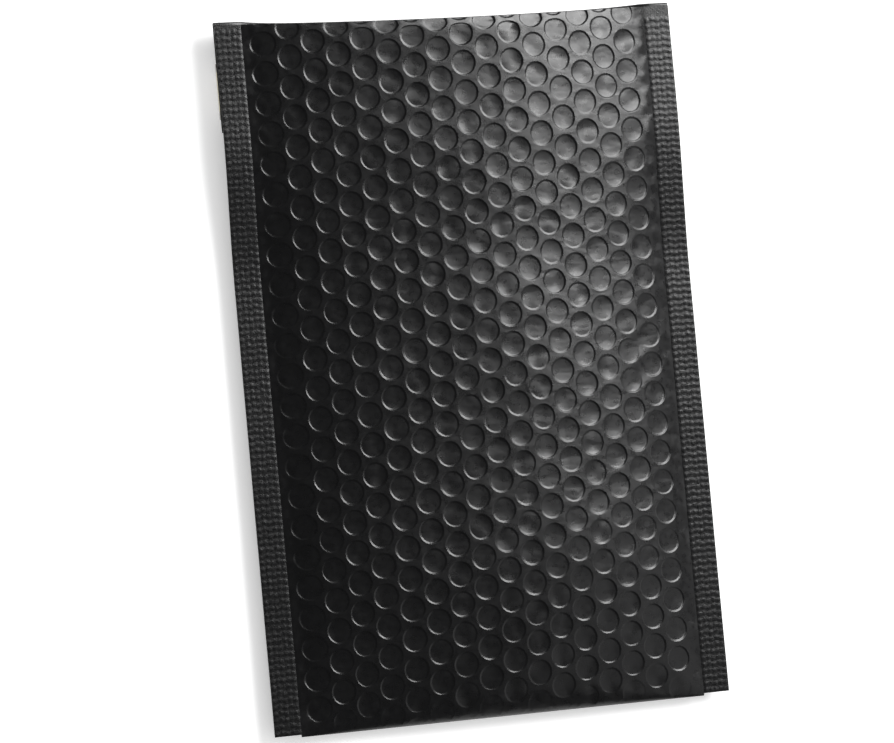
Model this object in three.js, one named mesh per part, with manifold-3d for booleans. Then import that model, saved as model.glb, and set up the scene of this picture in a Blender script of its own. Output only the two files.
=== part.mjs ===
// A padded mailing envelope: a black film pouch with crimped side seals, a bubble lining inside it and
// a flap with a peel-off closing strip. It lies on its back, with its mouth open and the flap folded
// behind. Millimetres, +Z up: X runs across the width, Y from the bottom fold to the mouth, and the
// envelope lies on Z = 0.

import * as THREE from "three";
import { mergeVertices } from "three/addons/utils/BufferGeometryUtils.js";
import Module from "manifold-3d";

const wasm = await Module();
wasm.setup();

// Pouch
const WIDTH = 184;
const LENGTH = 266;
const SEAL_WIDTH = 10.4;
const SEAL_THICKNESS = 1.0;
const FRONT_RISE = 9.5;
const BACK_DROP = 5.5;
const BACK_FLAT_SHARE = 0.7;
const FRONT_TAPER = 60;
const BACK_TAPER = 30;
const FILM = 1.0;

// Bubbles: regular rows in upright columns, each pressed a little into the face of the film
const BUBBLE_PITCH = 11.3;
const BUBBLE_SHIFT = -2.0;
const DISH_RADIUS = 0.407 * BUBBLE_PITCH;
const DISH_DEPTH = 0.6 * FILM;
const FIRST_ROW = 0.85 * BUBBLE_PITCH;
const FADE_RUN = 30;
const FRONT_SIDES = 8;
const BACK_SIDES = 6;

// Lining
const LINING = 2.4;
const LINING_GAP = 0.3;
const LINING_SETBACK = 4;
const INNER_RIM = 0.2;

// Flap and closing strip
const FLAP = 40;
const FLAP_FILM = 0.8;
const FOLD_RADIUS = 0.35;
const FOLD_REACH = 0.5;
const STRIP_GAP = 0.3;
const ADHESIVE_WIDTH = 15;
const ADHESIVE_THICKNESS = 0.4;
const LINER_WIDTH = 21;
const LINER_THICKNESS = 0.4;
const STRIP_INSET = 5;
const LIFT_RUN = 34;

// How finely the curves are cut into flats: angles along the bottom fold's curve, in degrees, steps
// round the flap's fold, spans of a seal's straight edge and the least distance between two lines
const NOSE_ANGLES = [0, 10, 17.6, 26.3];
const SECTION_ANGLES = [0, 10, 24, 42, 62, 90];
const FOLD_STEPS = 4;
const EDGE_SPANS = 5;
const LEAST_STEP = 1;

// Worked out from the sizes above
const HALF_SEAL = SEAL_THICKNESS / 2;
const HALF_INSIDE = WIDTH / 2 - SEAL_WIDTH;
const COLUMN_PITCH = BUBBLE_PITCH * Math.sin(Math.PI / 3);
const COLUMNS_SPAN = 2 * (HALF_INSIDE - DISH_RADIUS - Math.abs(BUBBLE_SHIFT));
const BUBBLE_COLUMNS = Math.floor(COLUMNS_SPAN / COLUMN_PITCH) + 1;
const FLAP_ROOT = (FILM - FLAP_FILM) / 2;
const ADHESIVE_DROP = 2 * FOLD_RADIUS + FLAP_ROOT + FLAP_FILM + STRIP_GAP;
const LINER_DROP = ADHESIVE_DROP + ADHESIVE_THICKNESS + STRIP_GAP;
const FLAP_STACK = LINER_DROP + LINER_THICKNESS;
const FLAP_EDGE = LENGTH - FLAP;
const FLAP_ROOT_END = LENGTH - 2 * FILM;
const LIFT_START = FLAP_EDGE - LIFT_RUN;
const OVERALL_LENGTH = LENGTH + FOLD_REACH + FOLD_RADIUS + FLAP_ROOT + FLAP_FILM;

// The faces are made past the mouth, as far as a whole row of bubbles, and trimmed there.
const END = LENGTH + DISH_RADIUS + BUBBLE_PITCH / 2 + 2 * LEAST_STEP;

// The nested pouches, from the outside in. Each has the cushion curve of the last, moved in by a wall.
function insidePouch(pouch, wall) {
  const inward = wall + INNER_RIM - pouch.rim;
  return {
    half: pouch.half * Math.sqrt(1 - inward / pouch.rise),
    flange: 0,
    rim: INNER_RIM,
    rise: pouch.rise - inward,
    drop: pouch.drop - inward,
    start: pouch.start + wall,
  };
}

const filmPouch = {
  half: HALF_INSIDE,
  flange: SEAL_WIDTH,
  rim: HALF_SEAL,
  rise: FRONT_RISE,
  drop: BACK_DROP,
  start: 0,
};
const cavity = insidePouch(filmPouch, FILM);
const liningPouch = insidePouch(cavity, LINING_GAP);
const pocket = insidePouch(liningPouch, LINING);

// Height of the side seals' middle: the mouth end is lifted where it lies on the folded flap.
function sealHeight(y) {
  const lift = THREE.MathUtils.clamp((y - LIFT_START) / LIFT_RUN, 0, 1);
  return BACK_DROP + HALF_SEAL + FLAP_STACK * lift;
}

// How full the pouch is at a distance from its bottom fold: a quarter ellipse, then full.
function fullness(distance, taper) {
  const left = 1 - THREE.MathUtils.clamp(distance / taper, 0, 1);
  return Math.sqrt(1 - left * left);
}

function frontHeight(pouch, x, y) {
  const across = Math.min(1, Math.abs(x) / pouch.half);
  const rise = pouch.rise * fullness(y - pouch.start, FRONT_TAPER) * (1 - across * across);
  return sealHeight(y) + pouch.rim + rise;
}

// The back lies flat in the middle and curves up to the side seals.
function backHeight(pouch, x, y) {
  const across = Math.min(1, Math.abs(x) / pouch.half);
  const past = Math.max(0, across - BACK_FLAT_SHARE) / (1 - BACK_FLAT_SHARE);
  const drop = pouch.drop * fullness(y - pouch.start, BACK_TAPER) * (1 - past * past);
  return sealHeight(y) - pouch.rim - drop;
}

function columnMiddle(column) {
  return BUBBLE_SHIFT + (column - (BUBBLE_COLUMNS - 1) / 2) * COLUMN_PITCH;
}

// Upright lines where a face bends: the middles of the bubble columns and the pouch's own two edges.
function bendLines(half, every) {
  const lines = [-half];
  for (let column = 0; column < BUBBLE_COLUMNS; column += every) {
    const x = columnMiddle(column);
    if (Math.abs(x) < half - LEAST_STEP) lines.push(x);
  }
  lines.push(half);
  return lines;
}

// Places along the length, from angles along the curve of the bottom fold.
function nosePlaces(angles) {
  return angles.map((angle) => FRONT_TAPER * (1 - Math.cos(THREE.MathUtils.degToRad(angle))));
}

// Cross-section places along the length: close together at the bottom fold and where the mouth lifts.
function stations(start, end) {
  const nose = nosePlaces(SECTION_ANGLES).map((y) => start + y);
  const lift = [LIFT_START, FLAP_EDGE].filter((y) => y > nose.at(-1) + LEAST_STEP);
  return [...nose, ...lift, end];
}

// A closed body through rings of points that all have the same count, with flat ends.
function loft(rings) {
  const positions = rings.flat().flatMap((point) => point.toArray());
  const count = rings[0].length;
  const index = [];
  for (let r = 0; r + 1 < rings.length; r += 1) {
    for (let i = 0; i < count; i += 1) {
      const a = r * count + i;
      const b = r * count + ((i + 1) % count);
      index.push(a, b, b + count, a, b + count, a + count);
    }
  }
  const lastRing = (rings.length - 1) * count;
  for (let near = 0; near < count / 2 - 1; near += 1) {
    const far = count - 1 - near;
    const cap = [near, far, near + 1, near + 1, far, far - 1];
    index.push(...cap);
    index.push(...cap.map((n) => n + lastRing).reverse());
  }
  const geometry = new THREE.BufferGeometry();
  geometry.setAttribute("position", new THREE.Float32BufferAttribute(positions, 3));
  geometry.setIndex(index);
  return geometry;
}

function toSolid(geometry) {
  const plain = geometry.clone();
  plain.deleteAttribute("normal");
  plain.deleteAttribute("uv");
  const merged = mergeVertices(plain);
  return new wasm.Manifold(new wasm.Mesh({
    numProp: 3,
    vertProperties: merged.attributes.position.array,
    triVerts: new Uint32Array(merged.index.array),
  }));
}

function toGeometry(solid) {
  const mesh = solid.getMesh();
  const geometry = new THREE.BufferGeometry();
  geometry.setAttribute("position", new THREE.BufferAttribute(mesh.vertProperties, 3));
  geometry.setIndex(new THREE.BufferAttribute(mesh.triVerts, 1));
  geometry.computeVertexNormals();
  return geometry;
}

function pouchSolid(pouch, end) {
  const xs = bendLines(pouch.half, 2);
  const rings = stations(pouch.start, end).map((y) => {
    const front = xs.map((x) => new THREE.Vector3(x, y, frontHeight(pouch, x, y)));
    const back = xs.toReversed().map((x) => new THREE.Vector3(x, y, backHeight(pouch, x, y)));
    return [...front, ...back];
  });
  return toSolid(loft(rings));
}

// Triangles between two chains of points that both run up the face, with a on the left of b.
function zip(a, b) {
  const triangles = [];
  let i = 0;
  let j = 0;
  while (i + 1 < a.length || j + 1 < b.length) {
    const stepLeft = j + 1 === b.length || (i + 1 < a.length && a[i + 1].y <= b[j + 1].y);
    triangles.push([a[i], b[j], stepLeft ? a[i + 1] : b[j + 1]]);
    if (stepLeft) i += 1;
    else j += 1;
  }
  return triangles;
}

// One column of bubbles: a chain of points up its left side and one up its right, which run together
// between the bubbles, and a shallow cone of triangles in each, which makes a dish with a crisp rim.
function bubbleColumn(face, column) {
  const x = columnMiddle(column);
  const onFace = (px, py) => new THREE.Vector3(px, py, face.height(px, py));
  const first = face.firstRow + (column % 2) * BUBBLE_PITCH / 2;
  const footEnd = first - DISH_RADIUS - LEAST_STEP;
  const foot = nosePlaces(NOSE_ANGLES).filter((y) => y < footEnd).map((y) => onFace(x, y));
  const left = [...foot];
  const right = [...foot];
  const dishes = [];
  for (let y = first; y < face.lastRow; y += BUBBLE_PITCH) {
    const rims = { left: [], right: [] };
    for (let i = 0; i <= face.sides / 2; i += 1) {
      const angle = 2 * Math.PI * i / face.sides;
      const out = DISH_RADIUS * Math.sin(angle);
      const up = y - DISH_RADIUS * Math.cos(angle);
      rims.right.push(onFace(x + out, up));
      rims.left.push(onFace(x - out, up));
    }
    [rims.left[0], rims.left[face.sides / 2]] = [rims.right[0], rims.right[face.sides / 2]];
    left.push(...rims.left);
    right.push(...rims.right);
    const middle = onFace(x, y);
    middle.z -= face.outward * DISH_DEPTH * fullness(y, FADE_RUN);
    const loop = [...rims.right, ...rims.left.slice(1, -1).toReversed()];
    loop.forEach((point, i) => dishes.push([middle, point, loop[(i + 1) % loop.length]]));
  }
  const headStart = left.at(-1).y + LEAST_STEP;
  const head = [FLAP_EDGE, END].filter((y) => y > headStart).map((y) => onFace(x, y));
  left.push(...head);
  right.push(...head);
  return { left, right, dishes };
}

// A face's chains from side to side: the seal's two edges, the bubble columns, the other seal's edges.
function faceOf(face) {
  const edge = filmPouch.half + filmPouch.flange;
  const chain = (x, ys) => ys.map((y) => new THREE.Vector3(x, y, face.height(x, y)));
  const edgeYs = [LIFT_START, FLAP_EDGE, END];
  for (let i = EDGE_SPANS - 1; i >= 0; i -= 1) edgeYs.unshift(i * LIFT_START / EDGE_SPANS);
  const creaseYs = [0];
  for (let y = FIRST_ROW; y < END - DISH_RADIUS; y += BUBBLE_PITCH) creaseYs.push(y);
  creaseYs.push(END);
  const columns = [];
  for (let column = 0; column < BUBBLE_COLUMNS; column += 1) columns.push(bubbleColumn(face, column));
  const lefts = [
    chain(-edge, edgeYs),
    chain(-filmPouch.half, creaseYs),
    ...columns.map((column) => column.right),
    chain(filmPouch.half, creaseYs),
  ];
  const rights = [
    lefts[1],
    ...columns.map((column) => column.left),
    lefts.at(-1),
    chain(edge, edgeYs),
  ];
  const triangles = lefts.flatMap((left, i) => zip(left, rights[i]));
  triangles.push(...columns.flatMap((column) => column.dishes));
  const chains = [lefts[0], ...rights];
  return {
    triangles: face.outward > 0 ? triangles : triangles.map(([a, b, c]) => [a, c, b]),
    foot: chains.map((points) => points[0]),
    head: chains.map((points) => points.at(-1)),
    leftEdge: chains[0],
    rightEdge: chains.at(-1),
  };
}

// The wall between two lines of points that run side by side, such as a face's edge and the other's.
function wall(a, b) {
  const triangles = [];
  for (let i = 0; i + 1 < a.length; i += 1) {
    triangles.push([a[i], b[i], b[i + 1]], [a[i], b[i + 1], a[i + 1]]);
  }
  return triangles;
}

function bubbledSolid() {
  const front = faceOf({
    height: (x, y) => frontHeight(filmPouch, x, y),
    outward: 1,
    sides: FRONT_SIDES,
    firstRow: FIRST_ROW,
    lastRow: LENGTH + DISH_RADIUS,
  });
  const back = faceOf({
    height: (x, y) => backHeight(filmPouch, x, y),
    outward: -1,
    sides: BACK_SIDES,
    firstRow: FIRST_ROW + BUBBLE_PITCH,
    lastRow: FLAP_EDGE - DISH_RADIUS,
  });
  const triangles = [
    ...front.triangles,
    ...back.triangles,
    ...wall(back.foot, front.foot).map(([a, b, c]) => [a, c, b]),
    ...wall(back.head, front.head),
    ...wall(back.leftEdge, front.leftEdge),
    ...wall(back.rightEdge, front.rightEdge).map(([a, b, c]) => [a, c, b]),
  ];
  const geometry = new THREE.BufferGeometry();
  const positions = triangles.flat().flatMap((point) => point.toArray());
  geometry.setAttribute("position", new THREE.Float32BufferAttribute(positions, 3));
  return toSolid(geometry);
}

// A body of one section, a closed outline of Y and Z, carried across the width. It follows the
// underside of the pouch at the mouth, seals included.
function acrossUnderside(section) {
  const flatHalf = filmPouch.half * BACK_FLAT_SHARE - COLUMN_PITCH;
  const curved = bendLines(filmPouch.half, 1).filter((x) => Math.abs(x) > flatHalf);
  const xs = [-WIDTH / 2, ...curved, WIDTH / 2];
  return loft(xs.map((x) => {
    const underside = backHeight(filmPouch, x, LENGTH);
    return section.map(([y, z]) => new THREE.Vector3(x, y, underside + z));
  }));
}

// The flap is the back panel carried on past the mouth and folded flat behind it.
function flapSolid() {
  const inside = FOLD_RADIUS + FLAP_ROOT;
  const outside = inside + FLAP_FILM;
  const foldY = LENGTH + FOLD_REACH;
  const outer = [];
  const inner = [];
  for (let i = 0; i <= FOLD_STEPS; i += 1) {
    const angle = Math.PI / 2 - Math.PI * i / FOLD_STEPS;
    outer.push([foldY + outside * Math.cos(angle), outside * Math.sin(angle) - FOLD_RADIUS]);
    inner.push([foldY + inside * Math.cos(angle), inside * Math.sin(angle) - FOLD_RADIUS]);
  }
  const section = [
    [FLAP_ROOT_END, FLAP_ROOT],
    ...inner,
    [FLAP_EDGE, -FOLD_RADIUS - inside],
    [FLAP_EDGE, -FOLD_RADIUS - outside],
    ...outer.toReversed(),
    [FLAP_ROOT_END, FLAP_ROOT + FLAP_FILM],
  ];
  return toSolid(acrossUnderside(section));
}

function stripGeometry(edge, width, drop, thickness) {
  const section = [
    [edge, -drop - thickness],
    [edge + width, -drop - thickness],
    [edge + width, -drop],
    [edge, -drop],
  ];
  return acrossUnderside(section);
}

function outerFilm() {
  const pouch = bubbledSolid()
    .subtract(pouchSolid(cavity, END + FILM))
    .trimByPlane([0, -1, 0], -LENGTH);
  return toGeometry(pouch.add(flapSolid()));
}

function bubbleLining() {
  const end = LENGTH - LINING_SETBACK;
  return toGeometry(pouchSolid(liningPouch, end).subtract(pouchSolid(pocket, END)));
}

const filmFinish = new THREE.MeshStandardMaterial({ color: "#1c1c1d", roughness: 0.38, metalness: 0 });
const liningFinish = new THREE.MeshStandardMaterial({ color: "#c9cccd", roughness: 0.3, metalness: 0 });
const adhesiveFinish = new THREE.MeshStandardMaterial({ color: "#ddd6bf", roughness: 0.25, metalness: 0 });
const linerFinish = new THREE.MeshStandardMaterial({ color: "#eceae4", roughness: 0.5, metalness: 0 });

const envelope = new THREE.Group();
envelope.position.y = -OVERALL_LENGTH / 2;

function addPart(name, geometry, material) {
  const mesh = new THREE.Mesh(geometry, material);
  mesh.name = name;
  envelope.add(mesh);
}

const linerEdge = FLAP_EDGE + STRIP_INSET;
const adhesiveEdge = linerEdge + (LINER_WIDTH - ADHESIVE_WIDTH) / 2;
addPart("outer_film", outerFilm(), filmFinish);
addPart("bubble_lining", bubbleLining(), liningFinish);
addPart("adhesive_strip", stripGeometry(adhesiveEdge, ADHESIVE_WIDTH, ADHESIVE_DROP, ADHESIVE_THICKNESS),
  adhesiveFinish);
addPart("release_liner", stripGeometry(linerEdge, LINER_WIDTH, LINER_DROP, LINER_THICKNESS), linerFinish);

const part = new THREE.Group();
part.add(envelope);

export default part;
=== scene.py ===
# A padded mailing envelope: black film laminated over bubble wrap, folded at the bottom, heat-crimped
# up both sides and open at the top, with the closing flap folded flat behind it. Metres, +Z up: the
# envelope lies on its back, X runs across it and Y from the bottom fold to the mouth.

import bpy
import math
import numpy as np
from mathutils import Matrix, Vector, noise


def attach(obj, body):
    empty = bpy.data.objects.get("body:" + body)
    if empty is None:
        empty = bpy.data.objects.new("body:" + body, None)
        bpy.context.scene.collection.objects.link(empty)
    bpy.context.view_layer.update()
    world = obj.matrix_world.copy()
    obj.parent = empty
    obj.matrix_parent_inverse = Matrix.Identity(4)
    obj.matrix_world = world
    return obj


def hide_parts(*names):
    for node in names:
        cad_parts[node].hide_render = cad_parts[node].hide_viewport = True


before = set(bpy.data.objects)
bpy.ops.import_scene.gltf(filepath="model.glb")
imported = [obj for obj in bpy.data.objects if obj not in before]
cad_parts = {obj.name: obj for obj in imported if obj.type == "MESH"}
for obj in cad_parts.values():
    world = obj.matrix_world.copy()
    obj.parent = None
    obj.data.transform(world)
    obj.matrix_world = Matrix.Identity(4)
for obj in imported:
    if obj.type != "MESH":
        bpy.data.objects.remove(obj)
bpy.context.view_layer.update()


# The pouch: one web of black polyethylene film, about 60 microns thick and heat-laminated to the bubble
# wrap, so that each bubble has drawn a shallow round dish into it. The web is folded up from the bottom,
# and both faces bow out over the trapped air.
MM = 0.001
BOTTOM = -133.875 * MM
LIP = BOTTOM + 266 * MM
EDGE = 92 * MM
PANEL_HALF = 81.6 * MM
SEAL_LEVEL = 6.0 * MM
MOUTH_LIFT = 3.0 * MM
LIFT_FROM = BOTTOM + 166 * MM
LIFT_RUN = 60 * MM


def ramp(value):
    """Eases from 0 to 1."""
    value = np.clip(value, 0, 1)
    return value * value * (3 - 2 * value)


def ridge(distance, width):
    """1 on a line, easing to 0 within about twice the width on each side of it."""
    return np.exp(-(distance / width) ** 2)


def swell(x, y, size, seed):
    """Smooth unevenness from -1 to 1, with lumps of about the given size."""
    return np.array([noise.noise(Vector((a / size, b / size, seed))) for a, b in zip(x, y)])


def share_across(x, half=PANEL_HALF):
    """0 in the middle of a panel and 1 at its side edges."""
    return np.minimum(1, np.abs(x) / half)


def nearing_mouth(y):
    return ramp((y - LIFT_FROM) / LIFT_RUN)


def seal_height(y):
    """Height of the middle of the side seals, which rise where the mouth lies on the folded flap."""
    return SEAL_LEVEL + MOUTH_LIFT * nearing_mouth(y)


# The two cushions, which fill out from the bottom fold and keep a small gap along their side edges.
FRONT_RISE = 9.9 * MM
FRONT_FILL = 60 * MM
BACK_DROP = 5.85 * MM
BACK_FILL = 30 * MM
BACK_FLAT = 0.7
BOW_SHARE = 0.84
HALF_GAP = 0.1 * MM
MOUTH_THINNING = 2.4 * MM
LIP_ROLL = 0.5 * MM
ROLL_RUN = 8 * MM
LIP_SAG = 1.9 * MM
FOLD_SAG = 1.2 * MM
SAG_RUN = 6 * MM


def fullness(y, run):
    """How full the pouch is at a distance from its bottom fold."""
    left = 1 - np.clip((y - BOTTOM) / run, 0, 1)
    return np.sqrt(1 - left * left)


def bowed(across, shoulder):
    """A bow from 1 in the middle to 0 at the edges, with a shoulder that a higher power makes steeper."""
    return BOW_SHARE * (1 - across ** 2) + (1 - BOW_SHARE) * (1 - across ** shoulder)


def past_flat(across):
    """0 as far as the back lies flat, and 1 at its side edges."""
    return np.maximum(0, across - BACK_FLAT) / (1 - BACK_FLAT)


def half_gap(y):
    """Half the gap between the two faces, which meet at the bottom fold."""
    return HALF_GAP * ramp((y - BOTTOM) / MM)


def front_height(x, y):
    """The front's cushion, with a soft shoulder along each seal and a lip that rolls back at the mouth."""
    across = share_across(x)
    full = FRONT_RISE * fullness(y, FRONT_FILL) - MOUTH_THINNING * nearing_mouth(y)
    roll = LIP_ROLL * np.clip((y - LIP) / ROLL_RUN + 1, 0, 1) ** 2 * (1 - across ** 4)
    return seal_height(y) + half_gap(y) + full * bowed(across, 14) - roll


def back_height(x, y):
    """The back's cushion, flat in the middle where it lies down."""
    drop = BACK_DROP * fullness(y, BACK_FILL) * bowed(past_flat(share_across(x)), 8)
    return seal_height(y) - half_gap(y) - drop


def sagged(x, y, sag):
    """Place along Y, with the mouth's edge cut back in the middle, where it bows."""
    return y - sag * (1 - share_across(x) ** 2) * ramp((y - LIP) / SAG_RUN + 1)


# The dishes, in staggered columns. They are shaped in code, not by a cloth simulation, because they are
# set into the film hot and stay the same however the envelope bends. Those next to the fold are crushed.
BUBBLE_PITCH = 11.3 * MM
COLUMN_PITCH = BUBBLE_PITCH * math.sin(math.pi / 3)
COLUMNS = 16
FIRST_COLUMN = -2 * MM - (COLUMNS - 1) / 2 * COLUMN_PITCH
ROWS = 24
FIRST_ROW = BOTTOM + 9.6 * MM
DISH_RADII = [0, 4.05 * MM, 4.6 * MM, 4.86 * MM, 5.04 * MM]
DISH_DEPTHS = [0.27 * MM, 0.26 * MM, 0.2 * MM, 0, 0]
CRUSHED_LEFT = 0.25
CRUSHED_FROM = BOTTOM + 3 * MM
CRUSHED_RUN = 13 * MM
DISH_FADE = 2 * MM
RUN_TOGETHER = ((15, 11), (15, 10))
TROUGH_DEPTH = 0.22 * MM
TROUGH_HALF = 3.6 * MM
TROUGH_SIDE = 1.3 * MM
GATHER = 1.5 * MM
GATHER_FROM = 44 * MM
GATHER_RUN = 32 * MM
GATHER_END = 1.6 * MM

rng = np.random.default_rng(7)
dish_strength = rng.uniform(0.82, 1.14, (2, COLUMNS, ROWS + 2))
dish_tilt = rng.normal(0, 0.016, (2, 2, COLUMNS, ROWS + 2))


def dish_depth(x, y, face):
    """How deep the film is drawn in, on the front (face 0) or the back (face 1)."""
    depth = np.zeros_like(x)
    nearest = np.rint((x - FIRST_COLUMN) / COLUMN_PITCH)
    for offset in (-1, 0, 1):
        column = nearest + offset
        stagger = np.mod(column, 2) * BUBBLE_PITCH / 2
        row = np.rint((y - FIRST_ROW - stagger) / BUBBLE_PITCH)
        dx = x - FIRST_COLUMN - column * COLUMN_PITCH
        dy = y - FIRST_ROW - stagger - row * BUBBLE_PITCH
        radius = np.hypot(dx, dy)
        inside = (radius < DISH_RADII[-1] - 1e-7) & (column >= 0) & (column < COLUMNS)
        c = np.clip(column, 0, COLUMNS - 1).astype(int)
        r = np.clip(row + 1, 0, ROWS + 1).astype(int)
        middle = FIRST_ROW + stagger + row * BUBBLE_PITCH
        crushed = CRUSHED_LEFT + (1 - CRUSHED_LEFT) * ramp((middle - CRUSHED_FROM) / CRUSHED_RUN)
        crushed = np.where(middle < BOTTOM, 0, crushed)
        shape = np.interp(radius, DISH_RADII, DISH_DEPTHS) * dish_strength[face, c, r] * crushed
        tilt = dish_tilt[face, 0, c, r] * dx + dish_tilt[face, 1, c, r] * dy
        flat = ramp((DISH_RADII[-2] - radius) / MM)
        depth += np.where(inside, shape + tilt * flat, 0)
    return depth * ramp((y - BOTTOM) / DISH_FADE)


def trough_depth(x, y):
    """Two troughs at the right of the front, where the dishes of neighbouring bubbles run together."""
    depth = np.zeros_like(x)
    span = np.array((-COLUMN_PITCH, -BUBBLE_PITCH / 2))
    for column, row in RUN_TOGETHER:
        dx = x - FIRST_COLUMN - column * COLUMN_PITCH
        dy = y - FIRST_ROW - (row + 0.5) * BUBBLE_PITCH
        along = np.clip((dx * span[0] + dy * span[1]) / (span @ span), 0, 1)
        off = np.hypot(dx - along * span[0], dy - along * span[1])
        depth = np.maximum(depth, TROUGH_DEPTH * ramp((TROUGH_HALF - off) / TROUGH_SIDE))
    return depth


def gathered(x):
    """How far the seal on the left has drawn the outer bubbles inwards."""
    return GATHER * ramp((-x - GATHER_FROM) / GATHER_RUN) * ramp((x + PANEL_HALF) / GATHER_END)


# The slack in the film, as depths and sizes of its broad swells and lumps, of the tucks where the seals
# gather it and of the creases above the bottom fold.
SWELL_DEPTH = 0.42 * MM
SWELL_SIZE = 46 * MM
LUMP_DEPTH = 0.12 * MM
LUMP_SIZE = 17 * MM
HELD_RUN = 14 * MM
TUCK_DEPTH = 0.44 * MM
TUCK_SIZE = 3.6 * MM
TUCK_INSET = 2.6 * MM
TUCK_REACH = 1.9 * MM
TUCK_RUN = 6 * MM
CREASE_DEPTH = 0.3 * MM
CREASE_SIZE = 4.2 * MM
CREASE_UP = 6 * MM
CREASE_REACH = 3.4 * MM


def unevenness(x, y, seed):
    """How far the slack lifts the film."""
    across = share_across(x)
    up = y - BOTTOM
    swells = SWELL_DEPTH * swell(x, y, SWELL_SIZE, seed) + LUMP_DEPTH * swell(x, y, LUMP_SIZE, seed + 5)
    by_seal = ridge(PANEL_HALF - np.abs(x) - TUCK_INSET, TUCK_REACH) * ramp(up / TUCK_RUN)
    tucks = TUCK_DEPTH * swell(x * 0.25, y, TUCK_SIZE, seed + 9)
    by_fold = ridge(up - CREASE_UP, CREASE_REACH) * (1 - across ** 10)
    creases = CREASE_DEPTH * swell(x + y * 0.8, y * 0.35, CREASE_SIZE, seed + 13)
    return swells * ramp(up / HELD_RUN) * (1 - across ** 6) + tucks * by_seal + creases * by_fold


def deselect():
    bpy.ops.object.select_all(action="DESELECT")


def pick(obj):
    """Selects one object alone, and makes it the active one."""
    deselect()
    obj.select_set(True)
    bpy.context.view_layer.objects.active = obj


def shape_mesh(obj, place):
    """Moves every point of a mesh to place(x, y, z)."""
    points = np.empty(len(obj.data.vertices) * 3)
    obj.data.vertices.foreach_get("co", points)
    x, y, z = points.reshape(-1, 3).T
    moved = np.stack(place(x, y, z), axis=1)
    obj.data.vertices.foreach_set("co", moved.ravel())
    obj.data.update()


def cut(point, normal, clear):
    """Cuts the mesh in edit mode along a plane, and where clear is set drops what the normal points to."""
    bpy.ops.mesh.select_all(action="SELECT")
    bpy.ops.mesh.bisect(plane_co=point, plane_no=normal, clear_outer=clear, threshold=1e-6)


def select_open_edges():
    """Selects the open edges of the mesh in edit mode."""
    bpy.ops.mesh.select_mode(type="EDGE")
    bpy.ops.mesh.select_all(action="DESELECT")
    bpy.ops.mesh.select_non_manifold(extend=False)


def copy_of(obj, name):
    twin = obj.copy()
    twin.data = obj.data.copy()
    twin.name = name
    bpy.context.collection.objects.link(twin)
    return twin


def join(pieces, merge=None):
    """Joins pieces into the first one, and merges points that are closer than merge."""
    deselect()
    for piece in pieces:
        piece.select_set(True)
    bpy.context.view_layer.objects.active = pieces[0]
    bpy.ops.object.join()
    if merge:
        bpy.ops.object.mode_set(mode="EDIT")
        bpy.ops.mesh.select_all(action="SELECT")
        bpy.ops.mesh.remove_doubles(threshold=merge)
        bpy.ops.object.mode_set(mode="OBJECT")
    return pieces[0]


def flip(obj):
    pick(obj)
    bpy.ops.object.mode_set(mode="EDIT")
    bpy.ops.mesh.select_all(action="SELECT")
    bpy.ops.mesh.flip_normals()
    bpy.ops.object.mode_set(mode="OBJECT")


# The panel's mesh: how close points are merged, and how far in from the fold, the lip and the sides it
# has extra lines, where the film bends most.
MERGE = 0.02 * MM
FOLD_LINES = (0.25 * MM, 0.9 * MM, 2.0 * MM, 5.5 * MM)
LIP_LINES = (1.0 * MM, 2.6 * MM, 5.0 * MM)
SIDE_LINES = (0.7 * MM, 2.2 * MM, 4.2 * MM)


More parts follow.
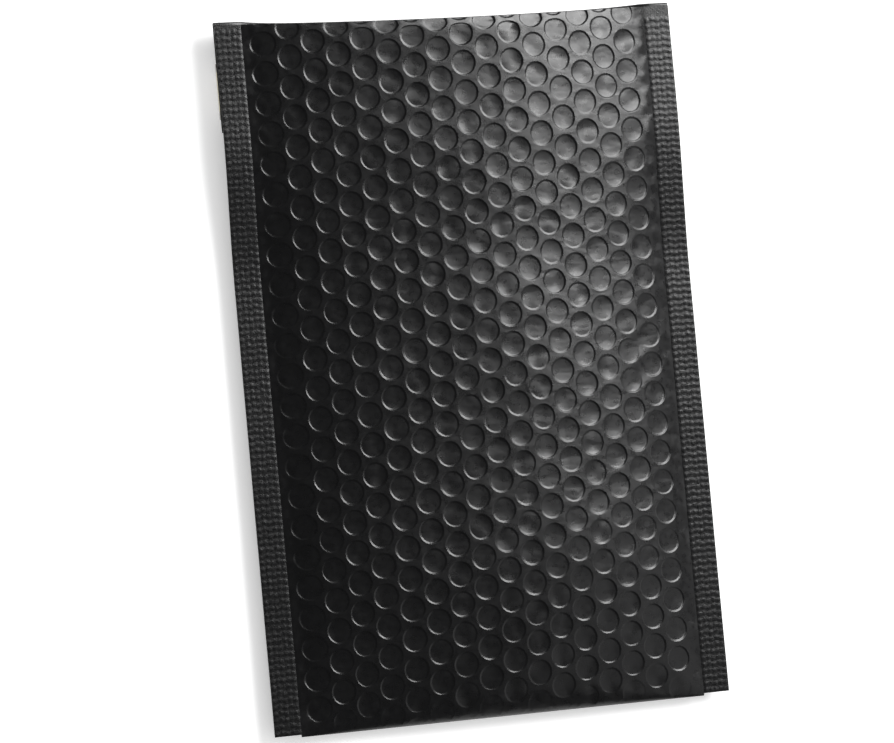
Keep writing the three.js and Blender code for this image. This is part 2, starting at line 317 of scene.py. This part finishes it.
def lattice(name, rings):
    """A flat sheet of six-sided cells, each with a dish's rings in its middle, cut to the panel."""
    deselect()
    bpy.ops.mesh.primitive_circle_add(
        vertices=6, radius=BUBBLE_PITCH / math.sqrt(3), fill_type="NOTHING", rotation=(0, 0, math.pi / 6))
    cells = bpy.context.object
    cells.name = name
    bpy.ops.object.transform_apply(location=True, rotation=True, scale=True)
    bpy.ops.object.mode_set(mode="EDIT")
    bpy.ops.mesh.select_all(action="SELECT")
    bpy.ops.mesh.subdivide(number_cuts=2)
    bpy.ops.mesh.extrude_edges_move()
    bpy.ops.transform.tosphere(value=1)
    bpy.ops.object.mode_set(mode="OBJECT")
    size = next(v.co.xy.length for v in cells.data.vertices if v.select)
    bpy.ops.object.mode_set(mode="EDIT")
    bpy.ops.transform.resize(value=(rings[0] / size, rings[0] / size, 1))
    for outer, inner in zip(rings, rings[1:]):
        bpy.ops.mesh.extrude_edges_move()
        bpy.ops.transform.resize(value=(inner / outer, inner / outer, 1))
    bpy.ops.mesh.extrude_edges_move()
    bpy.ops.mesh.merge(type="CENTER")
    bpy.ops.mesh.select_all(action="SELECT")
    bpy.ops.mesh.normals_make_consistent(inside=False)
    bpy.ops.transform.translate(value=(FIRST_COLUMN - 2 * COLUMN_PITCH, FIRST_ROW - BUBBLE_PITCH, 0))
    bpy.ops.object.mode_set(mode="OBJECT")
    if cells.data.polygons[0].normal.z < 0:
        flip(cells)
    for count, step in (
        (ROWS + 2, (0, BUBBLE_PITCH, 0)),
        (2, (COLUMN_PITCH, BUBBLE_PITCH / 2, 0)),
        (COLUMNS // 2 + 2, (2 * COLUMN_PITCH, 0, 0)),
    ):
        array = cells.modifiers.new("Cells", "ARRAY")
        array.count = count
        array.use_relative_offset = False
        array.use_constant_offset = True
        array.constant_offset_displace = step
        array.use_merge_vertices = True
        array.merge_threshold = MERGE
        bpy.ops.object.modifier_apply(modifier=array.name)

    bpy.ops.object.mode_set(mode="EDIT")
    cut((-PANEL_HALF, 0, 0), (-1, 0, 0), True)
    cut((PANEL_HALF, 0, 0), (1, 0, 0), True)
    cut((0, BOTTOM, 0), (0, -1, 0), True)
    cut((0, LIP, 0), (0, 1, 0), True)
    for up in FOLD_LINES:
        cut((0, BOTTOM + up, 0), (0, -1, 0), False)
    for down in LIP_LINES:
        cut((0, LIP - down, 0), (0, 1, 0), False)
    for side in (-1, 1):
        for inset in SIDE_LINES:
            cut((side * (PANEL_HALF - inset), 0, 0), (side, 0, 0), False)
    bpy.ops.object.mode_set(mode="OBJECT")
    return cells


def place_front(x, y, z):
    drawn_in = np.maximum(dish_depth(x, y, 0), trough_depth(x, y))
    return x + gathered(x), sagged(x, y, LIP_SAG), front_height(x, y) - drawn_in + unevenness(x, y, 3)


def place_back(x, y, z):
    """The back has half the slack, and stays just above the table."""
    height = back_height(x, y) + dish_depth(x, y, 1) - unevenness(x, y, 31) / 2
    return x, sagged(x, y, FOLD_SAG), np.maximum(0.02 * MM, height)


# The back lies on the table, so its dishes have fewer rings.
front = lattice("film", DISH_RADII[:0:-1])
back = lattice("film_back", DISH_RADII[3:1:-1])
shape_mesh(front, place_front)
shape_mesh(back, place_back)
flip(back)

# The inside of the film shows at the mouth, as far as the bubble wrap. It meets the outside along the
# lip, and comes closer to it towards the seals.
INSIDE_REACH = 12 * MM
FILM_THICKNESS = 0.25 * MM
LIP_TOLERANCE = 0.3 * MM

faces = []
for face, inward, sag in ((front, -FILM_THICKNESS, LIP_SAG), (back, FILM_THICKNESS, FOLD_SAG)):
    inside = copy_of(face, face.name + "_inside")
    flip(inside)
    bpy.ops.object.mode_set(mode="EDIT")
    cut((0, LIP - INSIDE_REACH, 0), (0, -1, 0), True)
    bpy.ops.object.mode_set(mode="OBJECT")
    shape_mesh(inside, lambda x, y, z: (x, y, z + inward * (1 - 0.75 * share_across(x) ** 8)))
    both = join([face, inside])
    bpy.ops.object.mode_set(mode="EDIT")
    select_open_edges()
    bpy.ops.object.mode_set(mode="OBJECT")
    for edge in both.data.edges:
        ends = [both.data.vertices[i].co for i in edge.vertices]
        on_lip = [end.y > float(sagged(end.x, LIP, sag)) - LIP_TOLERANCE for end in ends]
        edge.select = edge.select and all(on_lip)
    bpy.ops.object.mode_set(mode="EDIT")
    bpy.ops.mesh.bridge_edge_loops()
    bpy.ops.object.mode_set(mode="OBJECT")
    faces.append(both)
film = join(faces, MERGE)


# The closing flap: the back's film carried on past the mouth and folded flat behind it. It has no bubbles,
# and its free edge is cut straight.
FLAP_EDGE = BOTTOM + 226 * MM
FLAP_FOLD = 0.62 * MM
FLAP_REACH = 0.5 * MM
FLAP_THICKNESS = 0.24 * MM
FLAP_GAP = 0.05 * MM
FLAP_SLACK = 0.13 * MM


def underside(x):
    """Height of the back at the mouth, seals included."""
    return back_height(x, np.full_like(x, LIP))


def flap_path(along):
    """Place along Y and drop below the back's film, from 0 at the mouth to 1 at the flap's free edge."""
    arc = math.pi * FLAP_FOLD
    run = LIP + FLAP_REACH - FLAP_EDGE
    gone = along * (FLAP_REACH + arc + run)
    angle = np.clip((gone - FLAP_REACH) / FLAP_FOLD, 0, math.pi)
    back_run = np.maximum(0, gone - FLAP_REACH - arc)
    y = LIP + np.minimum(gone, FLAP_REACH) + FLAP_FOLD * np.sin(angle) - back_run
    return y, FLAP_FOLD * (1 - np.cos(angle))


def place_flap(x, y, z):
    """The grid's rows of points lie closer together near the fold."""
    x = x * 2 * EDGE
    along = (y + 0.5) ** 1.6
    path_y, drop = flap_path(along)
    slack = FLAP_SLACK * swell(x, path_y, 15 * MM, 41) * ramp(along * 4)
    return x, sagged(x, path_y, FOLD_SAG), underside(x) - FLAP_GAP - drop + slack


def add_grid(name, columns, rows):
    """A flat grid, one metre square, that is still to be shaped."""
    deselect()
    bpy.ops.mesh.primitive_grid_add(x_subdivisions=columns, y_subdivisions=rows, size=1)
    grid = bpy.context.object
    grid.name = name
    return grid


def thicken(sheet, thickness):
    """Gives the active object its thickness, half on each side."""
    solid = sheet.modifiers.new("Thickness", "SOLIDIFY")
    solid.thickness = thickness
    solid.offset = 0
    bpy.ops.object.modifier_apply(modifier=solid.name)


flap = add_grid("flap", 48, 44)
shape_mesh(flap, place_flap)
thicken(flap, FLAP_THICKNESS)
film = join([film, flap])


# Black polyethylene film, blown and heat-laminated: black all through, satin, with a faint drag grain
# from the rollers and small soft ripples that the bubbles' rims and the fold leave in it.
def linear(colour):
    """An sRGB hex colour as linear RGBA."""
    parts = [int(colour[i:i + 2], 16) / 255 for i in (1, 3, 5)]
    return [p / 12.92 if p <= 0.04045 else ((p + 0.055) / 1.055) ** 2.4 for p in parts] + [1]


def add_node(tree, kind, settings=None, links=None):
    """Adds a node, sets its properties and inputs by name, and links other nodes' outputs to its inputs."""
    node = tree.nodes.new(kind)
    for name, value in (settings or {}).items():
        if isinstance(name, int) or name in node.inputs:
            node.inputs[name].default_value = value
        else:
            setattr(node, name, value)
    for name, output in (links or {}).items():
        tree.links.new(output, node.inputs[name])
    return node


def start_material(name, settings):
    """A new material with its shader's inputs set, its node tree and its shader."""
    material = bpy.data.materials.new(name)
    material.use_nodes = True
    shader = material.node_tree.nodes["Principled BSDF"]
    for key, value in settings.items():
        shader.inputs[key].default_value = value
    return material, material.node_tree, shader


def place_in_mm(tree):
    """The place on the piece in millimetres, so that a pattern's scale is 1 over its real size."""
    place = add_node(tree, "ShaderNodeTexCoord")
    scaled = add_node(tree, "ShaderNodeVectorMath", {"operation": "SCALE", "Scale": 1000},
                      {0: place.outputs["Object"]})
    return scaled.outputs[0]


def dress(piece, material, angle):
    """Gives a piece one material, and smooth shading over edges that turn by less than the angle."""
    piece.data.materials.clear()
    piece.data.materials.append(material)
    pick(piece)
    bpy.ops.object.shade_smooth_by_angle(angle=math.radians(angle))


black_film, tree, shader = start_material("laminated_black_polyethylene", {"IOR": 1.51})
in_mm = place_in_mm(tree)
clouds = add_node(tree, "ShaderNodeTexNoise", {"Scale": 1 / 19, "Detail": 3}, {"Vector": in_mm})
tint = add_node(tree, "ShaderNodeMix",
                {"data_type": "RGBA", "A": linear("#09090a"), "B": linear("#0e0e0f")},
                {"Factor": clouds.outputs["Fac"]})
scuffs = add_node(tree, "ShaderNodeTexNoise", {"Scale": 1 / 2.4, "Detail": 5}, {"Vector": in_mm})
sheen = add_node(tree, "ShaderNodeMapRange",
                 {"From Min": 0.3, "From Max": 0.7, "To Min": 0.25, "To Max": 0.34},
                 {"Value": scuffs.outputs["Fac"]})
grain = add_node(tree, "ShaderNodeTexNoise", {"Scale": 1 / 0.5, "Detail": 2}, {"Vector": in_mm})
crosswise = add_node(tree, "ShaderNodeVectorMath", {"operation": "MULTIPLY", 1: (0.5, 1, 1)}, {0: in_mm})
ripple = add_node(tree, "ShaderNodeTexNoise", {"Scale": 1 / 3.6, "Detail": 1, "Distortion": 0.3},
                  {"Vector": crosswise.outputs[0]})
ripple_height = add_node(tree, "ShaderNodeMath", {"operation": "MULTIPLY", 1: 0.11},
                         {0: ripple.outputs["Fac"]})
height = add_node(tree, "ShaderNodeMath", {"operation": "MULTIPLY_ADD", 1: 0.012},
                  {0: grain.outputs["Fac"], 2: ripple_height.outputs[0]})
bump = add_node(tree, "ShaderNodeBump", {"Strength": 1, "Distance": MM}, {"Height": height.outputs[0]})
tree.links.new(tint.outputs["Result"], shader.inputs["Base Color"])
tree.links.new(sheen.outputs["Result"], shader.inputs["Roughness"])
tree.links.new(bump.outputs["Normal"], shader.inputs["Normal"])

dress(film, black_film, 70)
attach(film, "root")
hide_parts("outer_film")


# The side seals: both films and the wrap's edges welded flat between heated, knurled jaws, which leave
# rows of small raised pads 2.44 mm apart. The jaws stop just short of the mouth.
SEAL_START = BOTTOM + 0.9 * MM
SEAL_WIDTH = EDGE - PANEL_HALF
HALF_WELD = 0.2 * MM
KNURL = 2.44 * MM
PAD = 0.24 * MM
PADS_ACROSS = 5
JAW_STOPS_SHORT = {-1: 0.5 * MM, 1: 3.6 * MM}
JAW_EDGE = 0.8 * MM
SEAL_WAVE = 0.25 * MM
SEAL_CREASE = 0.03 * MM


def knurl(x, y, side):
    """Height of the pads the jaws leave: rows across the seal, cut into pads and a little uneven."""
    out = np.abs(x) - PANEL_HALF
    turn = 2 * math.pi * PADS_ACROSS * out / SEAL_WIDTH
    sway = 0.1 * np.sin(turn / 2) + 0.16 * swell(x, y, 3 * MM, 50 + side)
    row = 0.5 + 0.5 * np.cos(2 * math.pi * (y / KNURL + sway))
    pad = 0.5 - 0.5 * np.cos(turn)
    uneven = 0.85 + 0.5 * swell(x, y, 1.5 * MM, 60 + side)
    pressed = ramp((LIP - JAW_STOPS_SHORT[side] - y) / JAW_EDGE) * ramp(out / (0.5 * MM))
    return PAD * row ** 1.3 * (0.3 + 0.7 * pad ** 1.3) * uneven * pressed


def close_skins(skins):
    """Joins two skins of the same outline into one closed shell, bridged round their rims."""
    shell = join(skins)
    bpy.ops.object.mode_set(mode="EDIT")
    select_open_edges()
    bpy.ops.mesh.bridge_edge_loops()
    bpy.ops.mesh.select_all(action="SELECT")
    bpy.ops.mesh.normals_make_consistent(inside=False)
    bpy.ops.object.mode_set(mode="OBJECT")
    return shell


seals = []
for side in (-1, 1):
    skins = []
    for facing in (1, -1):
        strip = add_grid("side_seals", 16, 436)

        def place_strip(x, y, z):
            x = side * (PANEL_HALF + EDGE) / 2 + x * SEAL_WIDTH
            y = (SEAL_START + LIP) / 2 + y * (LIP - SEAL_START)
            out = np.abs(x) - PANEL_HALF
            crease = SEAL_CREASE * ridge(out, 0.4 * MM)
            wave = SEAL_WAVE * swell(x * 0.4, y, 34 * MM, 70 + side) * out / SEAL_WIDTH
            return x, y, seal_height(y) + wave + facing * (HALF_WELD - crease + knurl(x, y, side))

        shape_mesh(strip, place_strip)
        if facing < 0:
            flip(strip)
        skins.append(strip)
    seals.append(close_skins(skins))
seals = join(seals)

# The same film where the jaws have pressed it: duller than on the panels, with small glints on the pads.
crimped_film, tree, shader = start_material(
    "crimped_black_polyethylene", {"IOR": 1.51, "Base Color": linear("#0b0b0c"), "Specular IOR Level": 0.4})
in_mm = place_in_mm(tree)
scuffs = add_node(tree, "ShaderNodeTexNoise", {"Scale": 1 / 0.9, "Detail": 4}, {"Vector": in_mm})
sheen = add_node(tree, "ShaderNodeMapRange",
                 {"From Min": 0.3, "From Max": 0.7, "To Min": 0.24, "To Max": 0.4},
                 {"Value": scuffs.outputs["Fac"]})
grain = add_node(tree, "ShaderNodeTexNoise", {"Scale": 1 / 0.6, "Detail": 3}, {"Vector": in_mm})
bump = add_node(tree, "ShaderNodeBump", {"Strength": 1, "Distance": 0.06 * MM},
                {"Height": grain.outputs["Fac"]})
tree.links.new(sheen.outputs["Result"], shader.inputs["Roughness"])
tree.links.new(bump.outputs["Normal"], shader.inputs["Normal"])

dress(seals, crimped_film, 60)
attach(seals, "root")
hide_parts("outer_film")


# The lining: clear bubble wrap, its bubbles towards the film and its flat side towards the pocket. It
# is cut off square a few millimetres inside the mouth, and two layers of it look milky.
LINING_START = BOTTOM + 3 * MM
LINING_END = LIP - 4 * MM
POCKET_HALF = 65.4 * MM
POCKET_START = 3.4 * MM
POCKET_RISE = 6.1 * MM
POCKET_DROP = 2.1 * MM
POCKET_FILL = {1: 56 * MM, -1: 27 * MM}
POCKET_GAP = 0.2 * MM
WRAP_MARGIN = 2.2 * MM
WRAP_SHEET = 0.35 * MM
WRAP_BUBBLE = 1.9 * MM
WRAP_SLACK = 0.15 * MM
BUBBLE_RADIUS = 4.8 * MM
FILM_ROOM = 1.1 * MM
LEAST_ROOM = 0.05 * MM
SKIN_GAP = 0.04 * MM


def pocket_height(x, y, up):
    """The pocket's wall, front where up is 1 and back where it is -1."""
    across = share_across(x, POCKET_HALF)
    full = fullness(y - POCKET_START, POCKET_FILL[up])
    if up > 0:
        bow = POCKET_RISE * (1 - across ** 2)
        thinner = MOUTH_THINNING * nearing_mouth(y) * (1 - across ** 2)
    else:
        bow = POCKET_DROP * (1 - past_flat(across) ** 2)
        thinner = 0
    return seal_height(y) + up * (POCKET_GAP + bow * full) - thinner


def lining_thickness(x, y):
    """Full height over the bubbles, and film alone between them."""
    column = np.rint((x - FIRST_COLUMN) / COLUMN_PITCH)
    stagger = np.mod(column, 2) * BUBBLE_PITCH / 2
    dy = np.mod(y - FIRST_ROW - stagger + BUBBLE_PITCH / 2, BUBBLE_PITCH) - BUBBLE_PITCH / 2
    radius = np.hypot(x - FIRST_COLUMN - column * COLUMN_PITCH, dy)
    return WRAP_SHEET + WRAP_BUBBLE * np.sqrt(np.clip(1 - (radius / BUBBLE_RADIUS) ** 4, 0, 1))


layers = []
for up in (1, -1):
    skins = []
    for outer in (False, True):
        skin = add_grid("bubble_wrap", 96, 56)

        def place_skin(x, y, z):
            along = 1 - (0.5 - y) ** 1.5
            y = LINING_START + along * (LINING_END - LINING_START)
            half = POCKET_HALF + (WRAP_MARGIN if outer else 0)
            x = 2 * x * half
            inner = pocket_height(x, y, up) + up * WRAP_SLACK * swell(x, y, 21 * MM, 80 + up)
            closing = ramp((half - np.abs(x)) / (6 * MM)) * ramp((y - LINING_START) / (8 * MM))
            thick = lining_thickness(x, y) * closing if outer else 0
            film_side = front_height(x, y) if up > 0 else back_height(x, y)
            room = np.maximum(LEAST_ROOM, up * (film_side - inner) - FILM_ROOM)
            return x, y, inner + up * (np.minimum(thick, room) + SKIN_GAP)

        shape_mesh(skin, place_skin)
        if (up > 0) != outer:
            flip(skin)
        skins.append(skin)
    layers.append(close_skins(skins))
lining = join(layers)

# Clear low-density polyethylene: glossy, a little cloudy, with the welded rings of the bubbles.
bubble_wrap, tree, shader = start_material(
    "clear_bubble_polyethylene", {"IOR": 1.51, "Roughness": 0.24, "Transmission Weight": 0.3})
in_mm = place_in_mm(tree)
clouds = add_node(tree, "ShaderNodeTexNoise", {"Scale": 1 / 8, "Detail": 3}, {"Vector": in_mm})
tint = add_node(tree, "ShaderNodeMix",
                {"data_type": "RGBA", "A": linear("#b4b8ba"), "B": linear("#d2d5d6")},
                {"Factor": clouds.outputs["Fac"]})
crinkle = add_node(tree, "ShaderNodeTexNoise", {"Scale": 1 / 2.2, "Detail": 3}, {"Vector": in_mm})
bump = add_node(tree, "ShaderNodeBump", {"Strength": 1, "Distance": 0.25 * MM},
                {"Height": crinkle.outputs["Fac"]})
tree.links.new(tint.outputs["Result"], shader.inputs["Base Color"])
tree.links.new(bump.outputs["Normal"], shader.inputs["Normal"])

dress(lining, bubble_wrap, 60)
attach(lining, "root")
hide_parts("bubble_lining")


# The closing strip on the flap: a band of hot-melt glue, laid on in the factory, under a wider white
# release film that is peeled off before the flap is folded over and pressed down.
LINER_EDGE = FLAP_EDGE + 5 * MM
LINER_WIDTH = 21 * MM
LINER_DROP = 2.62 * MM
LINER_THICKNESS = 0.2 * MM
LINER_WAVES = 0.1 * MM
GLUE_WIDTH = 15 * MM
GLUE_EDGE = LINER_EDGE + (LINER_WIDTH - GLUE_WIDTH) / 2
GLUE_DROP = 1.5 * MM
GLUE_THICKNESS = 1.05 * MM


def add_band(name, from_edge, width, drop, thickness, waviness):
    """A thin band right across the flap, which follows the curve of the back under the mouth."""
    band = add_grid(name, 72, 8)

    def place_band(x, y, z):
        x = x * 2 * EDGE
        y = from_edge + (y + 0.5) * width
        lift = waviness * (0.5 + 0.5 * swell(x, y * 2, 12 * MM, 90))
        return x, y, underside(x) - drop - thickness / 2 + lift

    shape_mesh(band, place_band)
    thicken(band, thickness)
    bevel = band.modifiers.new("Edge", "BEVEL")
    bevel.width = thickness * 0.3
    bevel.segments = 2
    bevel.limit_method = "ANGLE"
    bevel.angle_limit = math.radians(60)
    bpy.ops.object.modifier_apply(modifier=bevel.name)
    return band


glue = add_band("glue_band", GLUE_EDGE, GLUE_WIDTH, GLUE_DROP, GLUE_THICKNESS, 0)

# Hot-melt glue: clear with a slight yellow cast, glossy and tacky, with fine ridges from the applicator.
hot_melt, tree, shader = start_material("hot_melt_glue", {"IOR": 1.5, "Roughness": 0.16})
in_mm = place_in_mm(tree)
streaks = add_node(tree, "ShaderNodeTexNoise", {"Scale": 1 / 3, "Detail": 3}, {"Vector": in_mm})
tint = add_node(tree, "ShaderNodeMix",
                {"data_type": "RGBA", "A": linear("#d8cfb4"), "B": linear("#e6dfc9")},
                {"Factor": streaks.outputs["Fac"]})
bump = add_node(tree, "ShaderNodeBump", {"Strength": 0.6, "Distance": 0.2 * MM},
                {"Height": streaks.outputs["Fac"]})
tree.links.new(tint.outputs["Result"], shader.inputs["Base Color"])
tree.links.new(bump.outputs["Normal"], shader.inputs["Normal"])

dress(glue, hot_melt, 40)
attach(glue, "root")
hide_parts("adhesive_strip")

liner = add_band("release_film", LINER_EDGE, LINER_WIDTH, LINER_DROP, LINER_THICKNESS, LINER_WAVES)

# Silicone-coated release film: white, smooth and slightly waxy, with faint rub marks.
release_film, tree, shader = start_material("siliconed_release_film", {"IOR": 1.45})
in_mm = place_in_mm(tree)
rubs = add_node(tree, "ShaderNodeTexNoise", {"Scale": 1 / 6, "Detail": 4}, {"Vector": in_mm})
tint = add_node(tree, "ShaderNodeMix",
                {"data_type": "RGBA", "A": linear("#e4e2dc"), "B": linear("#f0eee9")},
                {"Factor": rubs.outputs["Fac"]})
sheen = add_node(tree, "ShaderNodeMapRange", {"To Min": 0.36, "To Max": 0.5},
                 {"Value": rubs.outputs["Fac"]})
tree.links.new(tint.outputs["Result"], shader.inputs["Base Color"])
tree.links.new(sheen.outputs["Result"], shader.inputs["Roughness"])

dress(liner, release_film, 40)
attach(liner, "root")
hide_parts("release_liner")


# The studio: a white table and background, one large soft lamp high on the right towards the mouth, a
# weak fill lamp on the right towards the bottom fold, and a camera that looks down from the left.
deselect()
bpy.ops.mesh.primitive_plane_add(size=6, location=(0, 0, -0.1 * MM))
floor = bpy.context.object
floor.name = "table"
white_table, tree, shader = start_material("white_table", {
    "Base Color": linear("#f4f4f4"), "Roughness": 0.8, "Specular IOR Level": 0.1,
    "Emission Color": linear("#ffffff")})
# For the camera alone the table shines a little by itself, so that it comes out white.
rays = add_node(tree, "ShaderNodeLightPath")
seen = add_node(tree, "ShaderNodeMath", {"operation": "MULTIPLY", 1: 0.32},
                {0: rays.outputs["Is Camera Ray"]})
tree.links.new(seen.outputs[0], shader.inputs["Emission Strength"])
floor.data.materials.append(white_table)

world = bpy.data.worlds.new("studio")
bpy.context.scene.world = world
world.use_nodes = True
tree = world.node_tree
room = tree.nodes["Background"]
room.inputs["Color"].default_value = linear("#ffffff")
rays = add_node(tree, "ShaderNodeLightPath")
direction = add_node(tree, "ShaderNodeTexCoord")
parts = add_node(tree, "ShaderNodeSeparateXYZ", None, {0: direction.outputs["Generated"]})
# The film mirrors a room that is white up to a low height and dim above it. The camera sees plain
# white, and everything else gets an even light.
reflection = add_node(tree, "ShaderNodeMapRange",
                      {"From Min": 0.12, "From Max": 0.45, "To Min": 1.0, "To Max": 0.05},
                      {"Value": parts.outputs["Z"]})
mirrored = add_node(tree, "ShaderNodeMath", {"operation": "MAXIMUM"},
                    {0: rays.outputs["Is Glossy Ray"], 1: rays.outputs["Is Transmission Ray"]})
soft = add_node(tree, "ShaderNodeMix", {"A": 0.6},
                {"Factor": mirrored.outputs[0], "B": reflection.outputs["Result"]})
strength = add_node(tree, "ShaderNodeMix", {"B": 1.0},
                    {"Factor": rays.outputs["Is Camera Ray"], "A": soft.outputs["Result"]})
tree.links.new(strength.outputs["Result"], room.inputs["Strength"])


def add_lamp(name, towards, distance, size, power):
    """A square soft lamp that faces the middle of the envelope from the given direction."""
    data = bpy.data.lights.new(name, "AREA")
    data.size = size
    data.energy = power
    lamp = bpy.data.objects.new(name, data)
    bpy.context.collection.objects.link(lamp)
    lamp.location = Vector(towards).normalized() * distance
    lamp.rotation_euler = lamp.location.to_track_quat("Z", "Y").to_euler()


add_lamp("softbox", (0.58, 0.42, 0.70), 1.7, 0.9, 32)
add_lamp("side_fill", (0.68, -0.35, 0.64), 1.9, 1.0, 1.8)

# The camera was fitted to the photograph's dishes and to the corners of its outline.
camera_data = bpy.data.cameras.new("camera")
camera_data.lens = 180.69
camera_data.sensor_width = 36
camera_data.clip_end = 20
camera = bpy.data.objects.new("camera", camera_data)
bpy.context.collection.objects.link(camera)
camera.location = (-0.60309, -0.07911, 1.59101)
camera.rotation_euler = [math.radians(a) for a in (4.5267, -20.1528, -5.5695)]
bpy.context.scene.camera = camera
bpy.context.scene.view_settings.view_transform = "Standard"
